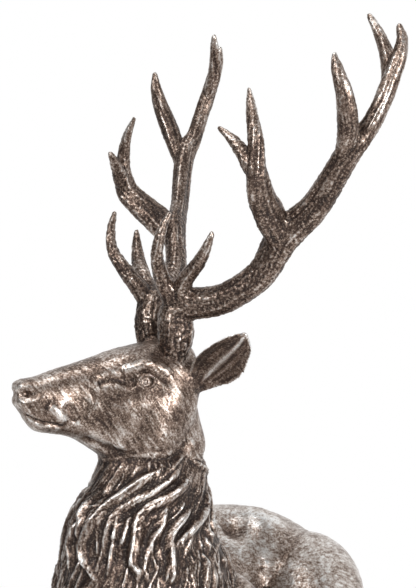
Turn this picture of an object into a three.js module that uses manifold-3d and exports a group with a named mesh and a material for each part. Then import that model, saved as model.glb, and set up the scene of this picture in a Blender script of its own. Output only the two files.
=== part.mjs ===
// A stag resting on a low oval base, its head held high and turned to its right.
// Figure, antlers and base are one casting. Millimetres, +Z up, the chest faces -Y,
// and the origin is the centre of the base's underside.
import * as THREE from "three";
import { mergeVertices } from "three/addons/utils/BufferGeometryUtils.js";
import Module from "manifold-3d";

// Driving dimensions
const FIGURE_HEIGHT = 535; // base top to the highest antler tip
const BASE_THICKNESS = 16;
const BASE_LENGTH = 470;
const BASE_WIDTH = 252;
const BASE_EDGE_ROUND = 4;
const BASE_FULLNESS = 2.4; // 2 gives an ellipse, more squares the outline up

// The figure's forms are written at this height and follow FIGURE_HEIGHT
const DRAWN_HEIGHT = 535;
const SHARE = FIGURE_HEIGHT / DRAWN_HEIGHT;

// The head's own frame: its origin lies between the antlers, x forward, y to its left, z up
const HEAD_AT = [21, -88, 305];
const HEAD_TURN = 46; // degrees from straight ahead to its right
const EAR_FACES = [0.5, 0.35, -0.8];
const EAR_CUP = 0.025; // how fast an ear's edges curl forward, per mm

const wasm = await Module();
wasm.setup();

const degrees = THREE.MathUtils.degToRad;
const vec = (p) => new THREE.Vector3(p[0], p[1], p[2]);

// A closed geometry as a solid, with the matrix that puts it in place
function solid(geometry, matrix = new THREE.Matrix4()) {
  const bare = new THREE.BufferGeometry();
  bare.setAttribute("position", geometry.getAttribute("position").clone());
  if (geometry.index) bare.setIndex(geometry.index.clone());
  const merged = mergeVertices(bare.applyMatrix4(matrix), 1e-3);
  const triVerts = new Uint32Array(merged.index.array);
  if (matrix.determinant() < 0) {
    for (let i = 0; i < triVerts.length; i += 3) {
      [triVerts[i + 1], triVerts[i + 2]] = [triVerts[i + 2], triVerts[i + 1]];
    }
  }
  const vertProperties = merged.getAttribute("position").array;
  return new wasm.Manifold(new wasm.Mesh({ numProp: 3, vertProperties, triVerts }));
}

// A sphere drawn out along a line of stations [x, y, z, side, above, below].
// `above` lies towards aim, `square` over 2 makes the section boxier, `twist` turns the columns
// of points round the line, and `relief` carves the skin. Sections are square to the line, or
// to `upright` where that is given.
function loft({
  stations, sides, rings, aim = [0, 0, 1], upright, square = 2, twist = () => 0, relief,
}) {
  const line = new THREE.CatmullRomCurve3(stations.map(vec), false, "catmullrom", 0.5);
  const girth = new THREE.CatmullRomCurve3(
    stations.map((s) => new THREE.Vector3(s[3], s[4] ?? s[3], s[5] ?? s[4] ?? s[3])),
    false, "catmullrom", 0.5);
  const shape = new THREE.SphereGeometry(1, sides, rings);
  const position = shape.getAttribute("position");
  const rows = [];
  for (let ring = 0; ring <= rings; ring++) {
    const t = THREE.MathUtils.clamp((ring - 1) / (rings - 2), 0, 1);
    const along = upright ? vec(upright) : line.getTangent(t);
    const above = vec(typeof aim === "function" ? aim(t) : aim);
    above.addScaledVector(along, -above.dot(along)).normalize();
    const side = new THREE.Vector3().crossVectors(along, above);
    const pole = ring === 0 || ring === rings;
    rows.push({ t, at: line.getPoint(t), above, side, size: girth.getPoint(t), pole });
  }
  const bend = (c) => Math.sign(c) * Math.abs(c) ** (2 / square);
  for (let i = 0; i < position.count; i++) {
    const row = rows[Math.floor(i / (sides + 1))];
    const column = (i % (sides + 1)) % sides;
    const angle = column / sides * 2 * Math.PI + twist(row.t);
    const rise = bend(Math.sin(angle));
    const reach = bend(Math.cos(angle));
    const out = new THREE.Vector3();
    if (!row.pole) {
      out.addScaledVector(row.side, reach * row.size.x);
      out.addScaledVector(row.above, rise * (rise > 0 ? row.size.y : row.size.z));
    }
    const p = row.at.clone().add(out);
    if (relief && !row.pole) {
      p.addScaledVector(out.normalize(), relief(p, row.t, column));
    }
    position.setXYZ(i, p.x, p.y, p.z);
  }
  return shape;
}

// Rounded swellings and hollows [x, y, z, radius, height] that a loft's relief adds up
const swellings = (list) => (p) =>
  list.reduce((sum, [x, y, z, radius, height]) => {
    const far2 = (p.x - x) ** 2 + (p.y - y) ** 2 + (p.z - z) ** 2;
    return sum + height * Math.exp(-far2 / radius ** 2);
  }, 0);

const bothSides = (list) => list.concat(list.map(([x, y, ...rest]) => [x, -y, ...rest]));

// The locks of the mane leave the nape on the left, sweep round to the throat, then hang.
// The neck's columns of points turn with them, `columns` to a lock, so each ridge stays crisp.
const MANE = { locks: 13, columns: 4, depth: 6.5, profile: [0, 0.55, 1, 0.45] };
const MANE_TURN = [[0.1, 0], [0.4, 92], [0.6, 122], [0.8, 134]]; // [t, degrees turned so far]
function maneTurn(t) {
  let turned = 0;
  for (let i = 1; i < MANE_TURN.length; i++) {
    const [from, low] = MANE_TURN[i - 1];
    const [to, high] = MANE_TURN[i];
    turned += (high - low) * THREE.MathUtils.clamp((t - from) / (to - from), 0, 1);
  }
  return -degrees(turned + 3 * Math.sin(20 * t));
}

function lockHeight(column, t) {
  const lock = Math.floor(column / MANE.columns);
  const ridge = MANE.profile[column % MANE.columns];
  const length = Math.abs(Math.sin(Math.PI * (2.2 * t + 0.38 * lock)));
  const grow = THREE.MathUtils.smoothstep(t, 0.12, 0.3) * (1 - THREE.MathUtils.smoothstep(t, 0.86, 1));
  return grow * MANE.depth * (0.35 + 0.65 * length) * (ridge - 0.5);
}

function neck() {
  const stations = [
    [21, -88, 268, 17, 18, 20],
    [16, -92, 248, 23, 28, 31],
    [11, -96, 232, 27, 36, 38],
    [9, -97, 212, 35, 43, 43],
    [6, -95, 196, 42, 49, 48],
    [2, -93, 181, 49, 56, 54],
    [0, -90, 164, 55, 61, 60],
    [0, -87, 143, 60, 67, 66],
    [0, -84, 118, 62, 72, 68],
    [-1, -80, 88, 58, 68, 62],
    [-1, -74, 58, 46, 54, 50],
    [-1, -70, 36, 30, 36, 30],
  ];
  const turned = (t) => {
    const facing = degrees(HEAD_TURN * (1 - THREE.MathUtils.smoothstep(t, 0.08, 0.72)));
    return [-Math.sin(facing), -Math.cos(facing), 0];
  };
  return loft({
    stations, sides: MANE.locks * MANE.columns, rings: 30, aim: turned, twist: maneTurn,
    relief: (p, t, column) => lockHeight(column, t),
  });
}

function trunk() {
  const stations = [
    [0, -122, 78, 30, 34, 40],
    [-3, -90, 82, 56, 62, 66],
    [-8, -48, 84, 65, 72, 78],
    [-19, 0, 84, 68, 66, 80],
    [-31, 42, 83, 68, 61, 80],
    [-37, 80, 84, 65, 64, 78],
    [-32, 114, 87, 66, 74, 80],
    [-17, 148, 88, 72, 78, 80],
    [2, 180, 84, 66, 70, 74],
    [18, 203, 78, 46, 52, 56],
    [27, 214, 76, 22, 28, 30],
  ];
  return loft({
    stations, sides: 24, rings: 20, square: 2.3,
    relief: swellings([
      [-2, 108, 151, 15, -7],
      [14, 132, 160, 18, 5],
      [24, 60, 96, 34, -5],
      [-80, 120, 96, 30, -4],
    ]),
  });
}

// Haunch, from the point of the buttock over the thigh to the knee
const haunches = [
  [
    [26, 196, 86, 24, 30, 34],
    [35, 174, 92, 43, 49, 56],
    [42, 150, 93, 48, 52, 60],
    [53, 120, 80, 43, 45, 50],
    [67, 92, 58, 31, 34, 40],
    [77, 64, 36, 14, 16, 20],
  ],
  [
    [-28, 204, 82, 24, 28, 34],
    [-44, 186, 88, 42, 46, 54],
    [-58, 162, 88, 48, 50, 58],
    [-73, 130, 76, 42, 44, 50],
    [-84, 100, 56, 30, 32, 40],
    [-91, 72, 36, 13, 15, 20],
  ],
];

// Limbs are lines of [x, y, z, radius]; the shoulders run down to the elbows
const shoulders = [
  [[34, -56, 144, 8], [43, -54, 124, 27], [54, -52, 93, 34], [62, -42, 62, 26], [66, -24, 42, 17]],
  [[-36, -56, 142, 8], [-45, -54, 122, 27], [-56, -52, 91, 34], [-62, -42, 60, 26], [-64, -26, 40, 17]],
];
const limbs = [
  [[77, 60, 34, 8], [76, 76, 33, 20], [78, 120, 26, 20], [74, 168, 22, 15], [70, 196, 26, 10]],
  [[70, 198, 27, 9], [84, 178, 14, 10], [97, 135, 9, 8], [103, 108, 9, 9], [104, 100, 8, 7]],
  [[-91, 68, 34, 8], [-90, 84, 33, 19], [-88, 126, 26, 19], [-80, 174, 22, 14], [-72, 202, 26, 10]],
  [[-72, 204, 26, 9], [-88, 184, 14, 10], [-101, 142, 9, 8], [-106, 114, 9, 9], [-106, 106, 8, 7]],
  [[68, -10, 40, 8], [68, -24, 38, 17], [67, -62, 30, 18], [62, -104, 25, 13], [57, -134, 24, 12],
    [56, -142, 22, 8]],
  [[56, -138, 20, 10], [68, -112, 10, 9], [77, -84, 9, 8], [79, -70, 9, 9]],
  [[-67, -12, 38, 8], [-66, -26, 37, 17], [-62, -66, 31, 18], [-54, -104, 26, 13],
    [-49, -130, 21, 12], [-43, -158, 14, 8], [-38, -182, 11, 9], [-37, -190, 10, 8]],
];

// Hoofs are short lines of [x, y, z, side, above, below]
const hoofs = [
  [[103, 108, 9, 7, 7, 9], [104, 96, 8, 9, 7, 10], [105, 80, 3, 9, 5, 6]],
  [[-106, 114, 9, 7, 7, 9], [-107, 102, 8, 9, 7, 10], [-107, 86, 3, 9, 5, 6]],
  [[78, -78, 9, 7, 7, 9], [80, -64, 8, 9, 8, 10], [82, -48, 3, 9, 5, 6]],
  [[-38, -180, 10, 8, 8, 10], [-36, -194, 8, 10, 8, 10], [-34, -211, 3, 10, 5, 6]],
];

function tail() {
  const stations = [
    [22, 206, 112, 11, 10, 10],
    [28, 219, 98, 12, 8, 8],
    [31, 225, 80, 10, 6, 7],
    [31, 224, 64, 5, 4, 4],
  ];
  return loft({ stations, sides: 8, rings: 7, aim: [0.2, 1, 0] });
}

// The head, in its own frame, from the nape to the muzzle
function head() {
  const stations = [
    [-20, 0, -22, 7, 8, 10],
    [-15, 0, -24, 17, 19, 22],
    [-8, 0, -28.5, 27, 31.5, 32],
    [4, 0, -34.5, 31, 39.5, 40],
    [16, 0, -39.5, 31, 42.5, 43],
    [30, 0, -41, 30, 41.5, 42.5],
    [44, 0, -40.5, 26.5, 38, 39],
    [58, 0, -39, 22, 32, 33],
    [74, 0, -37, 18, 25.5, 25.5],
    [90, 0, -37.5, 16, 21.5, 21.5],
    [101, 0, -37, 14.5, 17, 20],
    [107, 0, -37, 12.5, 15, 14],
    [112, 0, -36.5, 10, 13, 6],
    [115, 0, -36, 6, 10, 2.5],
  ];
  return loft({
    stations, sides: 26, rings: 24, upright: [1, 0, 0], square: 2.5,
    relief: swellings(bothSides([
      [30, 25, -12, 9, 4],
      [41, 22, -22, 8, -3],
      [28.7, 28, -24, 4.5, 2.5],
      [20, 28, -64, 17, 4.5],
      [10, 30, -36, 10, 2.5],
      [58, 22, -50, 10, -2.5],
      [91, 15, -44, 9, 1.6],
      [111, 10, -33, 4.5, -3],
      [106, 12, -50, 5, -2],
    ])),
  });
}

// One ear, a leaf cupped towards the front
function ear() {
  const stations = [
    [-9, 20, -26, 8, 5, 5],
    [-13, 29, -20, 10, 3.2, 3.2],
    [-17, 41, -11, 13.5, 2.4, 2.4],
    [-20, 54, -3, 13, 2, 2],
    [-23, 66, 5, 8.5, 1.7, 1.7],
    [-24, 75, 11, 1.5, 1.2, 1.2],
  ];
  const shape = loft({ stations, sides: 12, rings: 8, aim: EAR_FACES });
  const position = shape.getAttribute("position");
  const middle = new THREE.CatmullRomCurve3(stations.map(vec)).getPoints(40);
  const back = vec(EAR_FACES).normalize().negate();
  for (let i = 0; i < position.count; i++) {
    const p = new THREE.Vector3().fromBufferAttribute(position, i);
    const away = Math.min(...middle.map((m) => m.distanceTo(p)));
    p.addScaledVector(back, -(away ** 2) * EAR_CUP);
    position.setXYZ(i, p.x, p.y, p.z);
  }
  return shape;
}

// One antler, in the head's frame: lines of [x, y, z, radius]. The two differ a little:
// the forked tine (the third and fourth line) rises higher on the left one.
const FORK_LIFT = { left: 6, right: -8 };
const ANTLER = {
  flatAlong: [0.42, -0.48, 0.77],
  beam: [
    [4, 16, -14, 14], [4.6, 20.7, 8, 12], [3, 23, 27, 10.5, 11], [-18, 51, 34, 8.6, 10],
    [-35.6, 73, 51, 7.6, 10.2], [-43.5, 91.5, 76, 7, 12], [-56.5, 114, 97, 6, 10],
    [-70, 136, 132, 6.6, 8.8], [-81.4, 143.7, 149.4, 5.8, 6.6], [-89, 147.7, 165.6, 5.6, 6],
    [-96, 149, 183, 5.4], [-103, 150, 203, 4.4], [-103.6, 144.8, 218, 1.8],
  ],
  tines: [
    [[4, 20, 16, 8], [11, 25, 36, 6.4], [19.5, 30, 49, 5.5], [26.9, 40.2, 65, 4.2],
      [26, 46, 80, 3.2], [21.5, 49.5, 93, 1.6]],
    [[3, 22, 18, 8], [4.4, 31, 38, 6.2], [4.4, 38, 47, 5.5], [1.5, 55.4, 60, 4.5],
      [-2.7, 67.5, 80, 1.6]],
    [[-42, 90, 72, 9, 8], [-32, 98, 88, 10, 5.5], [-21, 106.5, 101, 9, 5],
      [-10.7, 114, 118, 6, 5], [-3, 107, 133, 3.5, 3.2], [6.4, 96.7, 144, 1.6]],
    [[-14, 114, 114, 6], [-12, 116, 134, 4.9], [-12, 110.5, 152, 3.8], [-14.6, 100, 170, 1.6]],
    [[-66, 131, 124, 7], [-65, 146, 148, 6.6], [-59, 153, 170, 6], [-54, 153, 186, 4.2],
      [-52, 151, 198, 1.6]],
    [[-94, 146, 178, 5.6], [-97, 142, 194, 5], [-96, 137.5, 205, 4.3],
      [-93.5, 132, 216, 3.3], [-90.4, 126.5, 226, 1.6]],
  ],
};

function antler(which) {
  const lifted = (line) => line.map(([x, y, z, ...rest]) =>
    [x, y, z + FORK_LIFT[which] * THREE.MathUtils.smoothstep(z, 70, 150), ...rest]);
  const tube = (line, sides, rings) =>
    loft({ stations: line, sides, rings, aim: ANTLER.flatAlong });
  const beam = tube(ANTLER.beam, 8, 20);
  const tines = ANTLER.tines.map((line, i) => tube(i === 2 || i === 3 ? lifted(line) : line, 6, 7));
  return [beam, ...tines];
}

// The low oval base, its top edge rounded over
function base() {
  const [halfWidth, halfLength] = [BASE_WIDTH / 2 - BASE_EDGE_ROUND, BASE_LENGTH / 2 - BASE_EDGE_ROUND];
  const bend = (c) => Math.sign(c) * Math.abs(c) ** (2 / BASE_FULLNESS);
  const points = Array.from({ length: 48 }, (_, i) => {
    const turn = i / 48 * 2 * Math.PI;
    return new THREE.Vector2(halfWidth * bend(Math.cos(turn)), halfLength * bend(Math.sin(turn)));
  });
  const slab = new THREE.ExtrudeGeometry(new THREE.Shape(points), {
    depth: BASE_THICKNESS - BASE_EDGE_ROUND, bevelEnabled: true,
    bevelThickness: BASE_EDGE_ROUND, bevelSize: BASE_EDGE_ROUND, bevelSegments: 2,
  });
  const below = new THREE.BoxGeometry(2 * BASE_WIDTH, 2 * BASE_LENGTH, 2 * BASE_THICKNESS);
  below.translate(0, 0, -BASE_THICKNESS);
  return solid(slab).subtract(solid(below));
}

// Puts the forms together
function stag() {
  const onBase = new THREE.Matrix4().makeTranslation(0, 0, BASE_THICKNESS);
  onBase.scale(new THREE.Vector3(SHARE, SHARE, SHARE));
  const facing = new THREE.Matrix4().makeRotationZ(degrees(-90 - HEAD_TURN));
  const atHead = onBase.clone()
    .multiply(new THREE.Matrix4().makeTranslation(...HEAD_AT))
    .multiply(facing);
  const mirror = new THREE.Matrix4().makeScale(1, -1, 1);
  const atHeadMirrored = atHead.clone().multiply(mirror);
  const parts = [
    solid(neck(), onBase),
    solid(trunk(), onBase),
    solid(tail(), onBase),
    solid(head(), atHead),
    solid(ear(), atHead),
    solid(ear(), atHeadMirrored),
    ...antler("left").map((g) => solid(g, atHead)),
    ...antler("right").map((g) => solid(g, atHeadMirrored)),
    ...haunches.map((stations) => solid(loft({ stations, sides: 14, rings: 9 }), onBase)),
    ...shoulders.map((stations) =>
      solid(loft({ stations, sides: 9, rings: 8, aim: [0, -1, 0.2] }), onBase)),
    ...limbs.map((stations) => solid(loft({ stations, sides: 7, rings: 8 }), onBase)),
    ...hoofs.map((stations) => solid(loft({ stations, sides: 7, rings: 5 }), onBase)),
  ];
  const figure = parts.reduce((sum, part) => sum.add(part));
  const ground = new THREE.BoxGeometry(3 * BASE_WIDTH, 3 * BASE_LENGTH, 4 * FIGURE_HEIGHT);
  ground.translate(0, 0, BASE_THICKNESS / 2 - 2 * FIGURE_HEIGHT);
  return figure.subtract(solid(ground)).add(base());
}

function meshOf(name, made, material) {
  const data = made.getMesh();
  const positions = new Float32Array(data.numVert * 3);
  for (let i = 0; i < data.numVert; i++) {
    positions.set(data.vertProperties.subarray(i * data.numProp, i * data.numProp + 3), i * 3);
  }
  const geometry = new THREE.BufferGeometry();
  geometry.setAttribute("position", new THREE.BufferAttribute(positions, 3));
  geometry.setIndex(new THREE.BufferAttribute(data.triVerts, 1));
  geometry.computeVertexNormals();
  const mesh = new THREE.Mesh(geometry, material);
  mesh.name = name;
  return mesh;
}

const antiqueSilver = new THREE.MeshStandardMaterial({
  color: 0x8a7d70, roughness: 0.42, metalness: 0.85,
});

const group = new THREE.Group();
group.add(meshOf("stag", stag(), antiqueSilver));

export default group;
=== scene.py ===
import math

import bmesh
import bpy
import numpy as np
from mathutils import Matrix, Vector
from mathutils.bvhtree import BVHTree


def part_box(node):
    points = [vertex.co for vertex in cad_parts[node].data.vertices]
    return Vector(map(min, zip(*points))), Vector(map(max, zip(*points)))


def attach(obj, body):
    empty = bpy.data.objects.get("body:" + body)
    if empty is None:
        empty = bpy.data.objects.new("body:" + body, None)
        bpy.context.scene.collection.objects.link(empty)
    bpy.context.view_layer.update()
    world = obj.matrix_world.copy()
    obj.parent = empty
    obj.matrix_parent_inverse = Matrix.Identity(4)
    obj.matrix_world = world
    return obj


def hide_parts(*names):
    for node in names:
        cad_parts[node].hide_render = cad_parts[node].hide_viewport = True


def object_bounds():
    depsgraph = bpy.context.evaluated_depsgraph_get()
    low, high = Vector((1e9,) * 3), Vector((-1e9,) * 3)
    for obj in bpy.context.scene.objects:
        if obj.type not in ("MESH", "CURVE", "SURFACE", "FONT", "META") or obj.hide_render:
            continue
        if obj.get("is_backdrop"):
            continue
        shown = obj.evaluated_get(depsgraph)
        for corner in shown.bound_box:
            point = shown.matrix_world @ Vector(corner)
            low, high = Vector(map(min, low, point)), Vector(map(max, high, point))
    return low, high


bl_info = {
    "name": "Resting stag figure",
    "version": (1, 0, 0),
    "blender": (4, 5, 0),
    "location": "3D View > Sidebar > Stag",
    "description": "Models a cast stag at rest on an oval base, in antique silver",
    "category": "Add Mesh",
}

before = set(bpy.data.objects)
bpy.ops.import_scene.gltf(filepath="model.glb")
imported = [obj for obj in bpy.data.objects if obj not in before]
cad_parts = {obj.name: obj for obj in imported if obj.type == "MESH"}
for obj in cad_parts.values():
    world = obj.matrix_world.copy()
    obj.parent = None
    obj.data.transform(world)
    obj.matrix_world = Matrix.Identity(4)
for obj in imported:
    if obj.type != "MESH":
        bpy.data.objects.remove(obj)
CAD_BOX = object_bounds()

# The figure is worked out in millimetres, in the frame's axes, and becomes metres at the end
MM = 0.001
CAD_LOW, CAD_HIGH = (np.array(corner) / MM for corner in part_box("stag"))
BASE_THICKNESS = 16.0

# The head's own frame: x forward, y to its left, z up, from a point between the antlers
HEAD_AT = np.array((21.0, -88.0, 305.0 + BASE_THICKNESS))
HEAD_TURN = math.radians(46)
HEAD_FORWARD = np.array((-math.sin(HEAD_TURN), -math.cos(HEAD_TURN), 0.0))
HEAD_LEFT = np.array((math.cos(HEAD_TURN), -math.sin(HEAD_TURN), 0.0))
UP = np.array((0.0, 0.0, 1.0))

# The photograph's camera, and its picture in pixels
PHOTO_SIZE = (416, 588)
# Its focal length in pixels, and its distance from its target
CAMERA = {"azimuth": 20.0, "elevation": 2.0, "distance": 1890.0, "focal": 2700.0}
CAMERA_TARGET = np.array((46.0, -79.0, 356.7))


def smooth(low, high, x):
    """0 below low, 1 above high, and a soft step between."""
    t = np.clip((np.asarray(x, float) - low) / (high - low), 0, 1)
    return t * t * (3 - 2 * t)


def catmull(points, t):
    """Points of a uniform Catmull-Rom curve through the rows of points, at shares t of it."""
    points = np.asarray(points, float)
    ends = 2 * points[0] - points[1], 2 * points[-1] - points[-2]
    padded = np.vstack((ends[0], points, ends[1]))
    place = np.clip(np.asarray(t, float), 0, 1) * (len(points) - 1)
    step = np.minimum(place.astype(int), len(points) - 2)
    w = (place - step)[:, None]
    p0, p1, p2, p3 = (padded[step + i] for i in range(4))
    v0, v1 = (p2 - p0) / 2, (p3 - p1) / 2
    return (
        (2 * p1 - 2 * p2 + v0 + v1) * w**3
        + (3 * p2 - 3 * p1 - 2 * v0 - v1) * w**2
        + v0 * w
        + p1
    )


def unit(v):
    """Rows of vectors, each made one long."""
    return v / np.maximum(np.linalg.norm(v, axis=-1, keepdims=True), 1e-9)


# Stations along each form: x, y, z, half width, rise above, rise below
NECK = (
    (21, -88, 268, 17, 18, 20),
    (16, -92, 248, 23, 28, 31),
    (11, -96, 232, 27, 36, 38),
    (9, -97, 212, 35, 43, 43),
    (6, -95, 196, 42, 49, 48),
    (2, -93, 181, 49, 56, 54),
    (0, -90, 164, 55, 61, 60),
    (0, -87, 143, 60, 67, 66),
    (0, -84, 118, 62, 72, 68),
    (-1, -80, 88, 58, 68, 62),
    (-1, -74, 58, 46, 54, 50),
    (-1, -70, 36, 30, 36, 30),
)
TRUNK = (
    (0, -122, 78, 30, 34, 40),
    (-3, -90, 82, 56, 62, 66),
    (-8, -48, 84, 65, 72, 78),
    (-19, 0, 84, 68, 66, 80),
    (-31, 42, 83, 68, 61, 80),
    (-37, 80, 84, 65, 64, 78),
    (-32, 114, 87, 66, 74, 80),
    (-17, 148, 88, 72, 78, 80),
    (2, 180, 84, 66, 70, 74),
    (18, 203, 78, 46, 52, 56),
    (27, 214, 76, 22, 28, 30),
)
TAIL = (
    (22, 206, 112, 11, 10, 10),
    (28, 219, 98, 12, 8, 8),
    (31, 225, 80, 10, 6, 7),
    (31, 224, 64, 5, 4, 4),
)
HAUNCHES = (
    (
        (26, 196, 86, 24, 30, 34),
        (35, 174, 92, 43, 49, 56),
        (42, 150, 93, 48, 52, 60),
        (53, 120, 80, 43, 45, 50),
        (67, 92, 58, 31, 34, 40),
        (77, 64, 36, 14, 16, 20),
    ),
    (
        (-28, 204, 82, 24, 28, 34),
        (-44, 186, 88, 42, 46, 54),
        (-58, 162, 88, 48, 50, 58),
        (-73, 130, 76, 42, 44, 50),
        (-84, 100, 56, 30, 32, 40),
        (-91, 72, 36, 13, 15, 20),
    ),
)
SHOULDERS = (
    ((34, -56, 144, 8), (43, -54, 124, 27), (54, -52, 93, 34), (62, -42, 62, 26), (66, -24, 42, 17)),
    ((-36, -56, 142, 8), (-45, -54, 122, 27), (-56, -52, 91, 34), (-62, -42, 60, 26), (-64, -26, 40, 17)),
)
# Which way the shoulders' and the tail's sections rise
SHOULDER_AIM = (0, -1, 0.2)
TAIL_AIM = (0.2, 1, 0)
# The legs' parts: two for each hind leg, two for the folded left foreleg, one for the right one
HIND_LEGS = (
    ((77, 60, 34, 8), (76, 76, 33, 20), (78, 120, 26, 20), (74, 168, 22, 15), (70, 196, 26, 10)),
    ((70, 198, 27, 9), (84, 178, 14, 10), (97, 135, 9, 8), (103, 108, 9, 9), (104, 100, 8, 7)),
    ((-91, 68, 34, 8), (-90, 84, 33, 19), (-88, 126, 26, 19), (-80, 174, 22, 14), (-72, 202, 26, 10)),
    ((-72, 204, 26, 9), (-88, 184, 14, 10), (-101, 142, 9, 8), (-106, 114, 9, 9), (-106, 106, 8, 7)),
)
FORELEGS = (
    (
        (68, -10, 40, 8),
        (68, -24, 38, 17),
        (67, -62, 30, 18),
        (62, -104, 25, 13),
        (57, -134, 24, 12),
        (56, -142, 22, 8),
    ),
    ((56, -138, 20, 10), (68, -112, 10, 9), (77, -84, 9, 8), (79, -70, 9, 9)),
    (
        (-67, -12, 38, 8),
        (-66, -26, 37, 17),
        (-62, -66, 31, 18),
        (-54, -104, 26, 13),
        (-49, -130, 21, 12),
        (-43, -158, 14, 8),
        (-38, -182, 11, 9),
        (-37, -190, 10, 8),
    ),
)
HOOFS = (
    ((103, 108, 9, 7, 7, 9), (104, 96, 8, 9, 7, 10), (105, 80, 3, 9, 5, 6)),
    ((-106, 114, 9, 7, 7, 9), (-107, 102, 8, 9, 7, 10), (-107, 86, 3, 9, 5, 6)),
    ((78, -78, 9, 7, 7, 9), (80, -64, 8, 9, 8, 10), (82, -48, 3, 9, 5, 6)),
    ((-38, -180, 10, 8, 8, 10), (-36, -194, 8, 10, 8, 10), (-34, -211, 3, 10, 5, 6)),
)
# Stations of the head, the left ear and the left antler, in the head's own frame
HEAD = (
    (-20, 0, -22, 7, 8, 10),
    (-15, 0, -24, 17, 19, 22),
    (-8, 0, -28.5, 27, 31.5, 32),
    (4, 0, -34.5, 31, 39.5, 40),
    (16, 0, -39.5, 31, 42.5, 43),
    (30, 0, -41, 30, 41.5, 42.5),
    (44, 0, -40.5, 26.5, 38, 39),
    (58, 0, -39, 22, 32, 33),
    (74, 0, -37, 18, 25.5, 25.5),
    (90, 0, -37.5, 16, 21.5, 21.5),
    (101, 0, -37, 14.5, 17, 20),
    (107, 0, -37, 12.5, 15, 14),
    (112, 0, -36.5, 10, 13, 6),
    (115, 0, -36, 6, 10, 2.5),
)
EAR = (
    (-9, 20, -26, 8, 5, 5),
    (-13, 29, -20, 11.5, 3.2, 3.2),
    (-17, 41, -11, 16.5, 2.4, 2.4),
    (-20, 54, -3, 16.5, 2.1, 2.1),
    (-23, 66, 5, 11, 1.9, 1.9),
    (-24, 75, 11, 1.5, 1.2, 1.2),
)
EAR_FACES = np.array((0.5, 0.35, -0.8))
# How far the ear curls forward for each square millimetre from its middle line
EAR_CUP = 0.025
BEAM = (
    (4, 16, -14, 14),
    (4.6, 20.7, 8, 12),
    (3, 23, 27, 10.5, 11),
    (-18, 51, 34, 8.6, 10),
    (-35.6, 73, 51, 7.6, 10.2),
    (-43.5, 91.5, 76, 7, 12),
    (-56.5, 114, 97, 6, 10),
    (-70, 136, 132, 6.6, 8.8),
    (-81.4, 143.7, 149.4, 5.8, 6.6),
    (-89, 147.7, 165.6, 5.6, 6),
    (-96, 149, 183, 5.4),
    (-103, 150, 203, 4.4),
    (-103.6, 144.8, 218, 1.8),
)
TINES = {
    "brow": (
        (4, 20, 16, 8),
        (11, 25, 36, 6.4),
        (19.5, 30, 49, 5.5),
        (26.9, 40.2, 65, 4.2),
        (26, 46, 80, 3.2),
        (21.5, 49.5, 93, 1.6),
    ),
    "second": (
        (3, 22, 18, 8),
        (4.4, 31, 38, 6.2),
        (4.4, 38, 47, 5.5),
        (1.5, 55.4, 60, 4.5),
        (-2.7, 67.5, 80, 1.6),
    ),
    "fork_back": (
        (-42, 90, 72, 9, 8),
        (-32, 98, 88, 11, 7),
        (-21, 106.5, 101, 9.5, 6.5),
        (-14, 114, 114, 8, 5.8),
        (-12, 116, 134, 5.3),
        (-12, 110.5, 152, 3.8),
        (-14.6, 100, 170, 1.6),
    ),
    "fork_front": (
        (-19, 110, 106, 6),
        (-10, 112, 120, 5.6),
        (-4, 107, 131, 4.4),
        (1, 102, 138, 3.1),
        (6.4, 96.7, 144, 1.5),
    ),
    "upper": (
        (-66, 131, 124, 7),
        (-65, 146, 148, 6.6),
        (-59, 153, 170, 6),
        (-54, 153, 186, 4.2),
        (-52, 151, 198, 1.6),
    ),
    "crown": (
        (-94, 146, 178, 5.6),
        (-97, 142, 194, 5),
        (-96, 137.5, 205, 4.3),
        (-93.5, 132, 216, 3.3),
        (-90.4, 126.5, 226, 1.6),
    ),
}
# The way that the antlers' second radii are measured along
FLAT_ALONG = np.array((0.42, -0.48, 0.77))
# How far the forked tine's tips rise on the left antler, 1, and drop on the right one, -1
FORK_LIFT = {1: 6.0, -1: -8.0}
# A line's first station lies inside what it grows from, and is drawn in to a share of its size
ROOT_SHARE = {"beam": 0.55, "fork_back": 0.8}
TINE_ROOT_SHARE = 0.5


def full_stations(stations):
    """Every station as six numbers: a short one repeats its last radius."""
    rows = []
    for station in stations:
        x, y, z, side, *heights = (float(v) for v in station)
        above = heights[0] if heights else side
        below = heights[1] if len(heights) > 1 else above
        rows.append((x, y, z, side, above, below))
    return np.array(rows)


def on_ground(stations):
    """Stations drawn from the top of the base, at their height in the frame."""
    rows = full_stations(stations)
    rows[:, 2] += BASE_THICKNESS
    return rows


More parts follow.
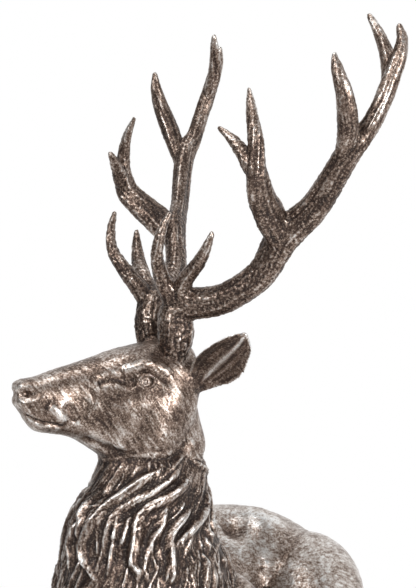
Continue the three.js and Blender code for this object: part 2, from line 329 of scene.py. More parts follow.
class Form:
    """A form drawn out along stations: x, y, z, half width, rise above and rise below.

    `above` lies towards aim, square over 2 makes the section boxier, and sections are square to
    the line, or to upright where that is given.
    """

    def __init__(self, rows, aim=UP, upright=None, square=2.0):
        self.rows = np.asarray(rows, float)
        self.aim = aim
        self.upright = upright
        self.square = square

    def frame_at(self, t):
        """Centres, the ways along, aside and above, and sizes, at shares t of the line."""
        places = self.rows[:, :3]
        centre = catmull(places, t)
        if self.upright is None:
            ahead = catmull(places, np.minimum(t + 1e-3, 1))
            along = unit(ahead - catmull(places, np.maximum(t - 1e-3, 0)))
        else:
            along = np.tile(np.asarray(self.upright, float), (len(t), 1))
        aims = self.aim(t) if callable(self.aim) else np.tile(np.asarray(self.aim, float), (len(t), 1))
        above = unit(aims - along * np.sum(aims * along, axis=1, keepdims=True))
        return centre, along, np.cross(along, above), above, catmull(self.rows[:, 3:], t)

    def bend(self, c):
        """A sine or cosine, squared off as the form's section is."""
        return np.sign(c) * np.abs(c) ** (2 / self.square)

    def skin(self, t, angle):
        """Points of the form's surface at shares t of its line and angles round it."""
        centre, _along, side, above, size = self.frame_at(np.asarray(t, float))
        rise, reach = self.bend(np.sin(angle)), self.bend(np.cos(angle))
        height = np.where(rise > 0, size[:, 1], size[:, 2])
        return centre + side * (reach * size[:, 0])[:, None] + above * (rise * height)[:, None]

    def add_to(self, bm, sides, rings):
        """Draws a UV sphere out along the form; returns its vertices and their places."""
        made = bmesh.ops.create_uvsphere(bm, u_segments=sides, v_segments=rings, radius=1)["verts"]
        ball = np.array([vert.co for vert in made])
        ring = np.arccos(np.clip(ball[:, 2], -1, 1)) / math.pi * rings
        t = np.clip((ring - 1) / (rings - 2), 0, 1)
        points = self.skin(t, np.arctan2(ball[:, 1], ball[:, 0]))
        poles = np.abs(ball[:, 2]) > 0.99999
        points[poles] = self.frame_at(t[poles])[0]
        return made, points

    def locate(self, points, samples=160):
        """For each point: its share of the line, its offset aside and above, and how far out.

        How far out is 1 on the form's surface, less inside it and more outside it.
        """
        t = np.linspace(0, 1, samples)
        centre, along, side, above, size = self.frame_at(t)
        near = nearest(points, centre)
        offset = points - centre[near]
        aside = np.einsum("ij,ij->i", offset, side[near])
        rise = np.einsum("ij,ij->i", offset, above[near])
        past = np.einsum("ij,ij->i", offset, along[near])
        past[(near > 0) & (near < samples - 1)] = 0
        height = np.where(rise > 0, size[near, 1], size[near, 2])
        power = self.square
        out = (np.abs(aside / size[near, 0]) ** power + np.abs(rise / height) ** power) ** (1 / power)
        return t[near], aside, rise, np.hypot(out, past / size[near].mean(axis=1))


def nearest(points, path, block=40000):
    """The index of the path's nearest point to each point."""
    path_square = np.sum(path**2, axis=1)
    found = [
        np.argmin(path_square - 2 * points[i : i + block] @ path.T, axis=1)
        for i in range(0, len(points), block)
    ]
    return np.concatenate(found) if found else np.zeros(0, int)


def throat_facing(t):
    """Which way the throat faces along the neck: turned with the head, then straight ahead."""
    facing = HEAD_TURN * (1 - smooth(0.08, 0.72, t))
    return np.stack((-np.sin(facing), -np.cos(facing), np.zeros_like(facing)), axis=1)


# How far the mane has swept round, in degrees, at shares of the neck's line
MANE_TURN = ((0.1, 0.0), (0.4, 92.0), (0.6, 122.0), (0.8, 134.0))


def mane_turn(t):
    """How far the locks have swept round the neck at share t of it, in radians."""
    shares, turns = zip(*MANE_TURN, strict=True)
    return -np.radians(np.interp(t, shares, turns) + 3 * np.sin(20 * np.asarray(t)))


NECK_FORM = Form(on_ground(NECK), throat_facing)
TRUNK_FORM = Form(on_ground(TRUNK), UP, None, 2.3)
HEAD_FORM = Form(full_stations(HEAD), UP, (1, 0, 0), 2.5)
EAR_FORM = Form(full_stations(EAR), EAR_FACES)


def head_to_world(points):
    """Points of the head's own frame, in the frame's axes."""
    axes = np.stack((HEAD_FORWARD, HEAD_LEFT, UP))
    return HEAD_AT + np.atleast_2d(np.asarray(points, float)) @ axes


def world_to_head(points):
    """Points of the frame, in the head's own."""
    axes = np.stack((HEAD_FORWARD, HEAD_LEFT, UP), axis=1)
    return (np.atleast_2d(points) - HEAD_AT) @ axes


def put(made, points):
    """Moves the vertices to their points."""
    for vert, point in zip(made, points, strict=True):
        vert.co = point


def add_body(bm):
    """Neck, trunk, tail, haunches, shoulders, legs and hoofs."""
    put(*NECK_FORM.add_to(bm, 72, 90))
    put(*TRUNK_FORM.add_to(bm, 72, 72))
    put(*Form(on_ground(TAIL), TAIL_AIM).add_to(bm, 24, 24))
    for stations in HAUNCHES:
        put(*Form(on_ground(stations)).add_to(bm, 44, 40))
    for stations in SHOULDERS:
        put(*Form(on_ground(stations), SHOULDER_AIM).add_to(bm, 36, 36))
    for stations in HIND_LEGS + FORELEGS + HOOFS:
        put(*Form(on_ground(stations)).add_to(bm, 24, 36))


def add_head(bm):
    """The head, and the two ears curled forward about their middle lines."""
    made, points = HEAD_FORM.add_to(bm, 80, 96)
    put(made, head_to_world(points))
    middle = catmull(EAR_FORM.rows[:, :3], np.linspace(0, 1, 60))
    for hand in (1, -1):
        made, points = EAR_FORM.add_to(bm, 44, 44)
        away = np.linalg.norm(points - middle[nearest(points, middle)], axis=1)
        points += unit(EAR_FACES) * (away**2 * EAR_CUP)[:, None]
        points[:, 1] *= hand
        put(made, head_to_world(points))


def antler_forms(hand):
    """The beam and tines of one antler, the beam first; hand is 1 for the left, -1 for the right."""
    forms = []
    for name, line in {"beam": BEAM, **TINES}.items():
        rows = full_stations(line)
        if name.startswith("fork"):
            rows[:, 2] += FORK_LIFT[hand] * smooth(70, 150, rows[:, 2])
        rows[0, 3:] *= ROOT_SHARE.get(name, TINE_ROOT_SHARE)
        forms.append(Form(rows, FLAT_ALONG))
    return forms


def add_antlers(bm):
    """Both antlers, each a beam with its tines."""
    for hand in (1, -1):
        beam, *tines = antler_forms(hand)
        for form, rings in ((beam, 96), *((tine, 36) for tine in tines)):
            made, points = form.add_to(bm, 20, rings)
            points[:, 1] *= hand
            put(made, head_to_world(points))


def add_base(bm, sizes):
    """The oval base: an outline drawn up into a slab, its top edge rounded over."""
    outline = bmesh.ops.create_circle(bm, cap_ends=True, segments=160, radius=1)["verts"]
    for vert in outline:
        c, s = vert.co.x, vert.co.y
        vert.co.x = math.copysign(abs(c) ** (2 / sizes.base_fullness), c) * sizes.base_width / MM / 2
        vert.co.y = math.copysign(abs(s) ** (2 / sizes.base_fullness), s) * sizes.base_length / MM / 2
    drawn = bmesh.ops.extrude_face_region(bm, geom=[outline[0].link_faces[0]])["geom"]
    top = {g for g in drawn if isinstance(g, bmesh.types.BMVert)}
    bmesh.ops.translate(bm, verts=list(top), vec=(0, 0, BASE_THICKNESS))
    rim = {edge for vert in top for edge in vert.link_edges if top.issuperset(edge.verts)}
    bmesh.ops.bevel(
        bm,
        geom=list(rim),
        offset=sizes.base_edge / MM,
        segments=4,
        profile=0.5,
        affect="EDGES",
        material=-1,
    )


def remeshed(name, build, grain, patches=()):
    """What build adds to a bmesh, as one closed object of even quads, finer in the patches."""
    bm = bmesh.new()
    build(bm)
    bmesh.ops.recalc_face_normals(bm, faces=bm.faces)
    mesh = bpy.data.meshes.new(name)
    bm.to_mesh(mesh)
    bm.free()
    obj = bpy.data.objects.new(name, mesh)
    bpy.context.scene.collection.objects.link(obj)
    applied(obj, "REMESH", mode="VOXEL", voxel_size=grain, adaptivity=0.0)
    for patch in patches:
        refine(obj.data, patch)
    return obj


def applied(obj, kind, **settings):
    """Applies a modifier of a kind to obj's mesh."""
    modifier = obj.modifiers.new(kind.title(), kind)
    for key, value in settings.items():
        setattr(modifier, key, value)
    shown = obj.evaluated_get(bpy.context.evaluated_depsgraph_get())
    mesh = bpy.data.meshes.new_from_object(shown)
    obj.modifiers.clear()
    old = obj.data
    obj.data = mesh
    bpy.data.meshes.remove(old)


def refine(mesh, balls):
    """Halves the faces within any of the balls, each (centre, radius)."""
    points = read(mesh.vertices, "co", 3)
    inside = np.zeros(len(points), bool)
    for centre, radius in balls:
        inside |= np.sum((points - centre) ** 2, axis=1) < radius**2
    bm = bmesh.new()
    bm.from_mesh(mesh)
    bm.verts.ensure_lookup_table()
    chosen = {bm.verts[i] for i in np.nonzero(inside)[0]}
    edges = {e for vert in chosen for e in vert.link_edges if chosen.issuperset(e.verts)}
    in_order = sorted(edges, key=lambda edge: edge.index)
    bmesh.ops.subdivide_edges(bm, edges=in_order, cuts=1, use_grid_fill=True)
    bm.to_mesh(mesh)
    bm.free()


def read(items, name, width):
    """A property of many mesh elements, as rows of numbers."""
    values = np.empty(len(items) * width, np.float32)
    items.foreach_get(name, values)
    return values.reshape(-1, width).astype(float)


def rounds(full):
    return full


class Skin:
    """A mesh's points as an array, with what carving them needs."""

    def __init__(self, mesh):
        self.mesh = mesh
        self.count = len(mesh.vertices)
        self.points = read(mesh.vertices, "co", 3)
        edges = np.empty(len(mesh.edges) * 2, np.int32)
        mesh.edges.foreach_get("vertices", edges)
        self.edges = edges.reshape(-1, 2)
        self.degree = np.maximum(np.bincount(edges, minlength=self.count), 1)
        self.settle()

    def settle(self):
        """Writes the points to the mesh and reads its normals again."""
        self.mesh.vertices.foreach_set("co", self.points.astype(np.float32).ravel())
        self.mesh.update()
        self.normals = read(self.mesh.vertex_normals, "vector", 3)

    def around(self, values):
        """The mean of each point's neighbours."""
        a, b = self.edges.T
        sums = [
            np.bincount(a, column[b], self.count) + np.bincount(b, column[a], self.count)
            for column in values.T
        ]
        return np.stack(sums, axis=1) / self.degree[:, None]

    def relaxed(self, times, amount, values=None):
        """The points, or other values, drawn towards their neighbours."""
        values = self.points if values is None else values
        for _ in range(times):
            values = values + amount * (self.around(values) - values)
        return values

    def even_out(self, times):
        """Takes out the voxels' steps and keeps the form's size."""
        for _ in range(times):
            self.points = self.relaxed(1, 0.5)
            self.points = self.relaxed(1, -0.52)
        self.settle()

    def fill_creases(self, times, share):
        """Rounds out the hollows between lapped forms, and leaves what stands out as it is."""
        move = np.einsum("ij,ij->i", self.relaxed(times, 0.5) - self.points, self.normals)
        self.points += self.normals * (np.maximum(move, 0) * share)[:, None]
        self.points = self.relaxed(2, 0.4)
        self.settle()

    def push(self, height):
        """Moves the points along their normals."""
        self.points += self.normals * np.asarray(height, float)[:, None]
        self.settle()

    def depth(self, times):
        """How far each point stands out from the skin round it."""
        return np.einsum("ij,ij->i", self.points - self.relaxed(times, 0.6), self.normals)


class Grain:
    """Soft noise between -1 and 1 from a fixed lattice, the same on every run."""

    def __init__(self, seed, size=40):
        self.size = size
        self.lattice = np.random.default_rng(seed).uniform(-1, 1, (size, size, size))

    def __call__(self, points, scale):
        place = points / scale
        cell = np.floor(place).astype(int)
        share = place - cell
        share = share * share * (3 - 2 * share)
        total = np.zeros(len(points))
        for corner in np.ndindex(2, 2, 2):
            i, j, k = ((cell + corner) % self.size).T
            weight = np.prod(np.where(corner, share, 1 - share), axis=1)
            total += weight * self.lattice[i, j, k]
        return total


def drawn_along(points, way, share):
    """Points squeezed along a way, so that noise read from them comes out drawn along it."""
    way = unit(np.asarray(way, float))
    return points - np.outer(points @ way, way) * (1 - share)


def round_line(form, points, share):
    """Points round a form's line, squeezed along it, so that noise runs along the form."""
    t, aside, rise, out = form.locate(points)
    length = np.sum(np.linalg.norm(np.diff(form.rows[:, :3], axis=0), axis=1))
    return np.stack((aside, rise, t * length * share), axis=1), out


def along_path(points, path, reach):
    """The points within reach of a path, the nearest of its places, and the offset from it."""
    low, high = path.min(axis=0) - reach, path.max(axis=0) + reach
    near = np.nonzero(np.all((points > low) & (points < high), axis=1))[0]
    place = nearest(points[near], path)
    return near, place, points[near] - path[place]


# A lock's section: 1 would make its crest a straight-sided ridge, and more makes it sharper
CREST_POWER = 1.45
STRAND_GROOVE = 0.08
# How far past the end of its line a lock may reach
LOCK_END = 2.5


def lay_lock(skin, coat, path, width, height, lean, strands):
    """Lays a tapering lock of hair along a path, over the coat of heights laid before it.

    Its crest leans to one side, and shallow grooves part it into strands.
    """
    near, place, offset = along_path(skin.points, path, width * 1.3 + 5)
    if not len(near):
        return
    share = place / (len(path) - 1)
    run = unit(np.gradient(path, axis=0))[place]
    across = unit(np.cross(run, skin.normals[near]))
    x = np.einsum("ij,ij->i", offset, across)
    past = np.abs(np.einsum("ij,ij->i", offset, run))
    half = width * np.clip(1.75 * share**0.45 * (1 - share) ** 0.5, 0.05, 1.0)
    q = x / half
    flank = np.where(q > lean, (q - lean) / (1 - lean), (lean - q) / (1 + lean))
    crest = np.clip(1 - flank, 0, 1) ** CREST_POWER
    ripple = 1 - STRAND_GROOVE * (1 - np.cos(2 * math.pi * strands * q))
    tall = height * smooth(0, 0.22, share) * smooth(1.02, 0.8, share) * crest * ripple
    tall[past > LOCK_END] = 0
    # What lies under a lock is pressed flatter, and lifts it a little
    under = coat[near]
    coat[near] = np.where(tall > 0.2, np.maximum(under * 0.85, tall + 0.3 * under), under)


def swelling(points, centre, radius, height):
    """A rounded bump, or a hollow where height is negative."""
    far = np.sum(((points - np.asarray(centre, float)) / np.asarray(radius, float)) ** 2, axis=1)
    return height * np.exp(-far)


def line_height(points, line, width, height):
    """A soft ridge along a line, or a groove where height is negative, fading at its ends."""
    path = path_through(line)
    path = points[nearest(path, points)]
    path[1:-1] = (path[:-2] + 2 * path[1:-1] + path[2:]) / 4
    found = np.zeros(len(points))
    near, place, offset = along_path(points, path, width * 3)
    share = place / max(len(path) - 1, 1)
    fade = smooth(0, 0.15, share) * smooth(1, 0.85, share)
    found[near] = height * fade * np.exp(-np.sum(offset**2, axis=1) / width**2)
    return found


def path_through(points, step=1.2):
    """A smooth line through the points, with a place every step of its length."""
    rows = np.asarray(points, float)
    length = np.sum(np.linalg.norm(np.diff(rows, axis=0), axis=1))
    return catmull(rows, np.linspace(0, 1, max(int(length / step), 6)))


# The head's carving is in its own frame and on its left side, and its right side mirrors it.
# The face's rises, and hollows where the height is negative: centre, radius, height
FACE_SWELLINGS = (
    ((30, 25, -12), 9, 4.0),
    ((41, 22, -22), 8, -3.0),
    ((20, 28, -64), 17, 4.0),
    ((10, 30, -36), 10, 2.0),
    ((58, 22, -50), 11, -2.2),
    ((91, 15, -44), 9, 1.6),
    ((106, 12, -50), 5, -1.4),
    ((112, 5, -24), 10, 2.0),
    ((46, 24, -42), 14, 1.0),
    ((18, 30, -44), 9, 1.6),
    ((34, 27, -56), 9, -1.6),
)
EYE_AT = np.array((29.0, 28.5, -23.6))
EYE_OPENING = (4.5, 3.1)
EYE_SLANT = math.radians(-14)
SOCKET_DEPTH = 3.2
EYEBALL = 6.4
# Where the ball's centre lies from the eye's, which way it looks, and the ring cut round its
# middle: place and width in radians, and depth as a share of the ball's radius
EYEBALL_SET = (0.3, -EYEBALL + 0.7, 0)
GAZE = (0.24, 0.97, 0.02)
RING = {"at": 0.27, "width": 0.075, "depth": 0.09}
# The face's ridges, and grooves where the height is negative: name, places, width, height
FACE_LINES = (
    ("tear groove", ((36, 27, -23.5), (44, 24, -22.5), (54, 20, -22), (64, 18, -24)), 3.6, -2.4),
    ("lid fold", ((38, 27, -18.5), (32, 29, -16), (26, 30, -16.5), (19, 31, -21), (14, 31, -27)), 1.3, -1.6),
    ("lid edge", ((36, 28, -22.5), (32, 29, -19), (27, 30, -18.8), (22, 31, -22.4)), 1.2, 1.5),
    ("lower lid", ((36, 28, -25), (31, 29, -28.3), (26, 30, -28.3), (22, 31, -25)), 1.1, 1.0),
    ("brow ridge", ((47, 20, -15), (37, 26, -12), (27, 28, -10.5), (18, 30, -13), (12, 31, -21)), 3.4, 2.0),
    ("cheek ridge", ((12, 32, -33), (26, 30, -36), (42, 26, -39), (58, 20, -40), (70, 17, -40)), 7.0, 1.4),
    ("mouth", ((113, 6, -45), (109, 11, -49.5), (101, 14, -51), (93, 15.5, -52.5), (84, 16, -55)), 1.2, -1.9),
    ("lip", ((112, 8, -47.5), (104, 13, -53.5), (96, 14, -55.5), (86, 14, -57)), 2.2, 1.0),
    ("whisker pad", ((96, 14, -38), (90, 16, -44), (84, 16, -51)), 3.6, 1.6),
    ("behind the pad", ((86, 16, -37), (80, 17, -44), (77, 17, -52)), 3.0, -1.2),
    ("jaw edge", ((52, 19, -66), (40, 22, -74), (28, 24, -77), (16, 26, -77), (5, 28, -71)), 4.0, 1.3),
)
NOSTRIL_AT = np.array((110.5, 9.5, -30.5))
# A nostril's rim and its opening: radii along, aside and up, and height
NOSTRIL = (((9.5, 10, 6.4), 2.2), ((6.2, 9, 3.6), -7.5))
# Where the mesh is made finer before it is carved
FINE_PATCHES = (
    ((EYE_AT, 15.0), (NOSTRIL_AT, 11.0), ((100, 14, -51), 10.0)),
    ((EYE_AT, 9.0),),
)


def both_sides(local):
    """Points of the head's frame folded over onto its left side."""
    folded = local.copy()
    folded[:, 1] = np.abs(folded[:, 1])
    return folded


def fine_patches():
    """The patches on both sides of the head, in the frame's axes."""
    for patch in FINE_PATCHES:
        yield [
            (head_to_world((centre[0], hand * centre[1], centre[2]))[0], radius)
            for centre, radius in patch
            for hand in (1, -1)
        ]


def carve_face(skin):
    """The face's broad forms first, then its lines, nostrils and eye openings on them."""
    folded = both_sides(world_to_head(skin.points))
    skin.push(sum(swelling(folded, *bump) for bump in FACE_SWELLINGS))
    folded = both_sides(world_to_head(skin.points))
    height = sum(line_height(folded, *line[1:]) for line in FACE_LINES)
    for radii, rise in NOSTRIL:
        height += swelling(folded, NOSTRIL_AT, radii, rise)
    x, z = folded[:, 0] - EYE_AT[0], folded[:, 2] - EYE_AT[2]
    c, s = math.cos(EYE_SLANT), math.sin(EYE_SLANT)
    far = np.hypot((x * c + z * s) / EYE_OPENING[0], (z * c - x * s) / EYE_OPENING[1])
    at_eye = smooth(12, 8, np.abs(folded[:, 1] - EYE_AT[1]))
    height -= at_eye * (SOCKET_DEPTH * smooth(1.12, 0.9, far))
    skin.push(height)


def add_eyes(bm):
    """The two eyeballs, each with a ring cut round a light centre."""
    for hand in (1, -1):
        gaze = unit(np.array(GAZE) * (1, hand, 1))
        made = bmesh.ops.create_uvsphere(bm, u_segments=40, v_segments=60, radius=1)["verts"]
        ball = np.array([vert.co for vert in made])
        polar = np.arccos(np.clip(ball[:, 2], -1, 1))
        ring = np.exp(-(((polar - RING["at"]) / RING["width"]) ** 2))
        across = unit(np.cross(UP, gaze))
        axes = np.stack((across, np.cross(gaze, across), gaze))
        centre = (EYE_AT + EYEBALL_SET) * (1, hand, 1)
        radius = EYEBALL * (1 - RING["depth"] * ring)
        put(made, head_to_world(centre + (ball * radius[:, None]) @ axes))


# Principal locks on the side that the photograph shows: half width, height, lean, and where
# each runs in the photograph, in its pixels
LOCKS_SEEN = (
    (5.0, 3.2, 0.3, ((197, 405), (192, 430), (187, 449), (176, 468), (159, 483), (143, 494))),
    (4.0, 1.4, 0.2, ((203, 436), (206, 466), (211, 489), (213, 521), (219, 546), (226, 580))),
    (4.5, 3.0, 0.3, ((93, 479), (83, 489), (78, 506), (70, 517), (61, 531), (58, 560), (57, 584))),
    (4.5, 3.2, 0.3, ((93, 496), (83, 509), (80, 524), (76, 540))),
    (4.5, 3.4, 0.2, ((80, 518), (73, 532), (70, 545), (71, 557), (68, 576))),
    (4.0, 3.6, 0.2, ((120, 508), (116, 529), (113, 543))),
    (4.0, 3.6, 0.2, ((132, 512), (126, 534), (121, 547))),
    (5.5, 4.2, 0.4, ((212, 470), (209, 488), (206, 511), (193, 535), (185, 560))),
    (5.5, 5.0, 0.4, ((209, 500), (200, 520), (179, 547), (173, 562), (168, 587))),
    (5.0, 4.6, 0.3, ((196, 505), (184, 520), (173, 536), (172, 553), (174, 576), (168, 588))),
    (5.0, 4.2, 0.3, ((171, 500), (166, 514), (162, 528), (152, 546), (146, 566), (149, 584))),
    (6.5, 5.6, 0.45, (
        (198, 470), (187, 486), (174, 497), (149, 511), (141, 524), (138, 546), (136, 562), (141, 574),
        (135, 588),
    )),
    (5.5, 4.4, 0.35, ((188, 455), (176, 476), (159, 491), (136, 503), (118, 514), (109, 528), (106, 545))),
    (6.5, 5.6, 0.45, (
        (172, 462), (160, 474), (144, 484), (116, 504), (99, 522), (89, 539), (86, 551), (90, 567),
        (98, 584),
    )),
    (1.6, 1.6, 0.0, ((150, 461), (149, 471), (146, 480))),
    (1.6, 1.6, 0.0, ((157, 461), (156, 472), (151, 484))),
    (1.6, 1.6, 0.0, ((163, 460), (162, 472), (157, 484))),
    (1.6, 1.6, 0.0, ((171, 458), (169, 471), (164, 482))),
)
# The crease under the jaw and the hollow of the throat, in the photograph's pixels
CREASE_SEEN = ((78, 432), (93, 443), (116, 452), (141, 459.5), (166, 458), (182, 450), (191, 437))
HOLLOW_SEEN = (120, 487)


def seen_at(tree, pixels):
    """Where the photograph's camera sees each pixel on a surface; pixels that miss are left out."""
    back = np.array(direction(CAMERA["azimuth"], CAMERA["elevation"]))
    right = unit(np.cross(UP, back))
    up = np.cross(back, right)
    eye = CAMERA_TARGET + back * CAMERA["distance"]
    hits = []
    for x, y in pixels:
        ray = -back * CAMERA["focal"] + right * (x - PHOTO_SIZE[0] / 2) + up * (PHOTO_SIZE[1] / 2 - y)
        hit = tree.ray_cast(Vector(eye), Vector(unit(ray)))[0]
        if hit is not None:
            hits.append(hit)
    return np.array(hits)


def locks_seen(tree):
    """The principal locks that the camera sees: path, half width, height and lean."""
    for half, height, lean, pixels in LOCKS_SEEN:
        found = seen_at(tree, pixels)
        if len(found) > 2:
            yield path_through(found), half, height, lean


# Further out of a form, in its own sizes, than any point that matters
FAR_OUT = 9.0


def mane_share(skin):
    """How much of the mane each point carries: 1 on the neck and chest, 0 off them."""
    share = np.zeros(skin.count)
    _t, _aside, _rise, neck = NECK_FORM.locate(skin.points)
    near = neck < 1.3
    points = skin.points[near]
    others = np.full(len(points), FAR_OUT)
    forms = [(TRUNK_FORM, points), (HEAD_FORM, world_to_head(points))]
    forms += [(Form(on_ground(stations), SHOULDER_AIM), points) for stations in SHOULDERS]
    forms += [(Form(on_ground(stations)), points) for stations in FORELEGS]
    for form, places in forms:
        others = np.minimum(others, form.locate(places)[3])
    share[near] = smooth(-0.01, 0.1, others - neck[near]) * smooth(1.3, 1.12, neck[near])
    return share


def sway(rng, amounts, waves, t, length):
    """How far a lock wavers to either side along its line, in radians."""
    return rng.uniform(*amounts) * np.sin(math.pi * waves * (t - t[0]) / length + rng.uniform(0, 6))


def carve_mane(obj, skin, depth, count):
    """Lays the locks of the mane over each other from the chest up, as hair lies."""
    coat = np.zeros(skin.count)
    rng = np.random.default_rng(11)
    for start in np.linspace(0.7, 0.1, count):
        length = rng.uniform(0.22, 0.38)
        angle = rng.uniform(0, 2 * math.pi)
        t = np.linspace(start, min(start + length, 0.98), 44)
        path = NECK_FORM.skin(t, angle + mane_turn(t) + sway(rng, (0.03, 0.09), 1.6, t, length))
        width = rng.uniform(6.5, 10.5) * (0.75 + 0.5 * start)
        height = depth * rng.uniform(0.7, 1.05)
        lay_lock(skin, coat, path, width, height, rng.uniform(0.2, 0.5), rng.choice((1.5, 2.0)))
    # The coat is pressed flatter where the principal locks will lie
    tree = BVHTree.FromObject(obj, bpy.context.evaluated_depsgraph_get())
    principal = list(locks_seen(tree))
    seen = np.zeros(skin.count)
    for path, half, _height, _lean in principal:
        near, _place, offset = along_path(skin.points, path, 9)
        seen[near[np.sum(offset**2, axis=1) < (half + 4) ** 2]] = 1
    coat *= 1 - 0.8 * skin.relaxed(6, 0.6, seen[:, None])[:, 0]
    for _ in range(count):
        start, length = rng.uniform(0.1, 0.72), rng.uniform(0.12, 0.26)
        t = np.linspace(start, start + length, 30)
        wave = sway(rng, (0.02, 0.06), 1.5, t, length)
        path = NECK_FORM.skin(t, rng.uniform(0, 2 * math.pi) + mane_turn(t) + wave)
        lay_lock(skin, coat, path, rng.uniform(2.2, 3.8), 0.45 * depth, 0.2, 1.0)
    # The coat thins out up the throat, where the hair is short
    coat *= smooth(BASE_THICKNESS + 238, BASE_THICKNESS + 178, skin.points[:, 2]) * 0.85 + 0.15
    for path, half, height, lean in principal:
        lay_lock(skin, coat, path, 1.5 * half, 1.2 * height, lean, 1.5)
    share = mane_share(skin)
    height = (1.3 * coat - 0.45 * depth) * share
    height += line_height(skin.points, seen_at(tree, CREASE_SEEN), 4.0, -2.4)
    for hollow in seen_at(tree, (HOLLOW_SEEN,)):
        height += swelling(skin.points, hollow, (13, 13, 8), -3.5)
    skin.push(height)
    return share


# Which way the hair lies on the face, in the head's frame, and on the body
FACE_LIE = (-0.57, 0.1, -0.82)
BODY_LIE = (0.1, 1, -0.35)
# The face's and the ears' noise is read this far from the mane's, so that they don't match
FACE_APART = 400
EAR_APART = -300


def hair_grain(skin, share):
    """Where each point lies in the lie of the hair: noise read there is drawn along it."""
    grain = drawn_along(skin.points, BODY_LIE, 0.2)
    t, aside, rise, _out = NECK_FORM.locate(skin.points)
    swept = np.arctan2(rise, aside) - mane_turn(t)
    round_neck = np.hypot(aside, rise)
    mane = np.stack((round_neck * np.cos(swept), round_neck * np.sin(swept), t * 34), axis=1)
    grain = np.where((share > 0.3)[:, None], mane, grain)
    local = world_to_head(skin.points)
    on_face = (HEAD_FORM.locate(local)[3] < 1.25) & (share <= 0.3)
    grain = np.where(on_face[:, None], drawn_along(local, FACE_LIE, 0.16) + FACE_APART, grain)
    folded = both_sides(local)
    ear, ear_out = round_line(EAR_FORM, folded, 0.14)
    on_ear = (ear_out < 1.6) & (folded[:, 1] > 27) & (local[:, 2] > -40)
    return np.where(on_ear[:, None], ear + EAR_APART, grain)


# Rises and hollows of the body: x, y, z, radius, height
BODY_SWELLINGS = (
    (-2, 108, 167, 13, -10),
    (-14, 98, 172, 8, 4),
    (14, 132, 176, 18, 5),
    (24, 60, 112, 34, -5),
    (42, -85, 247, 16, 3.5),
    (46, -84, 222, 18, 1.2),
    (-37, -120, 217, 14, -3.5),
    (-80, 120, 112, 30, -4),
)


def carve_body(skin):
    """Pushes the rises and hollows out of the body one after another."""
    for x, y, z, radius, height in BODY_SWELLINGS:
        skin.push(swelling(skin.points, (x, y, z), radius, height))


def carve_ears(skin):
    """A rib down the middle of each ear's front, a bowl beside it, and strokes of hair."""
    local = both_sides(world_to_head(skin.points))
    near = np.nonzero((local[:, 1] > 27) & (local[:, 2] > -32) & (local[:, 0] < 0))[0]
    t, aside, rise, _out = EAR_FORM.locate(local[near])
    half = EAR_FORM.frame_at(t)[4][:, 0]
    q = aside / half
    front = (rise - (aside**2) * EAR_CUP > 0) & (t > 0.12)
    rib = 0.9 * np.exp(-((q / 0.14) ** 2))
    bowl = -1.1 * smooth(0.1, 0.4, np.abs(q)) * smooth(0.98, 0.8, np.abs(q))
    strokes = 0.25 * np.cos(q * 17) * smooth(0.8, 0.5, np.abs(q))
    height = np.zeros(skin.count)
    height[near] = np.where(front, rib + bowl + strokes, 0) * smooth(0.1, 0.3, t) * smooth(1, 0.86, t)
    skin.push(height)


# What the wax fills: rounds of smoothing that a point is held against, and the full depth
RELIEFS = ((4, 0.3), (22, 1.6))


def complete(obj, skin, grain, polish, triangles, keep=None):
    """Keeps the piece in the CAD's box, stores what its finish reads, and thins its mesh."""
    skin.points = np.clip(skin.points, CAD_LOW, CAD_HIGH)
    skin.settle()
    relief = sum(skin.depth(rounds(times)) / full for times, full in RELIEFS)
    store(obj.data, "height", "FLOAT", np.tanh(0.6 * relief) * 0.5 + 0.5)
    store(obj.data, "polish", "FLOAT", np.broadcast_to(polish, (skin.count,)))
    store(obj.data, "grain", "FLOAT_VECTOR", grain * MM)
    count = sum(len(polygon.vertices) - 2 for polygon in obj.data.polygons)
    if count > triangles:
        settings = {}
        if keep is not None:
            # A point of weight 0 would never be thinned, so the weights run from 0.2 to 0.8
            group = obj.vertex_groups.new(name="thin")
            levels = np.round((1.2 - keep) * 8).astype(int)
            for level in np.unique(levels).tolist():
                group.add(np.nonzero(levels == level)[0].tolist(), level / 10, "REPLACE")
            settings = {"vertex_group": "thin", "vertex_group_factor": 0.02}
        applied(obj, "DECIMATE", ratio=triangles / count, **settings)
    obj.data.transform(Matrix.Scale(MM, 4))
    obj.data.shade_smooth()


def store(mesh, name, kind, values):
    """Keeps a value or a vector for each of the mesh's points, for its material to read."""
    attribute = mesh.attributes.new(name, kind, "POINT")
    field = "value" if kind == "FLOAT" else "vector"
    attribute.data.foreach_set(field, np.asarray(values, np.float32).ravel())


def voxel(size):
    return size


def add_fur(skin, grain, share):
    """Fine strokes of hair, stronger on the mane and left off the ears."""
    strokes = Grain(3)(grain, 2.2) * 0.35 + Grain(4)(grain, 1.2) * 0.15
    on_ear = smooth(30, 34, np.abs(world_to_head(skin.points)[:, 1])) * (skin.points[:, 2] > 270)
    skin.push(strokes * (0.6 + 0.8 * share) * (1 - on_ear))


def with_eyes(obj, skin, grain):
    """Adds the eyeballs; returns the skin and the grain again, longer by the eyes' points."""
    bm = bmesh.new()
    bm.from_mesh(obj.data)
    add_eyes(bm)
    bm.to_mesh(obj.data)
    bm.free()
    more = Skin(obj.data)
    eyes = world_to_head(more.points[skin.count :]) + FACE_APART
    return more, np.vstack((grain, eyes))


# The eyeballs count as this much mane: less than none, so they are painted bright all over, a painted
# highlight on the eyes
EYE_PAINTED_HIGHLIGHT = -1.2


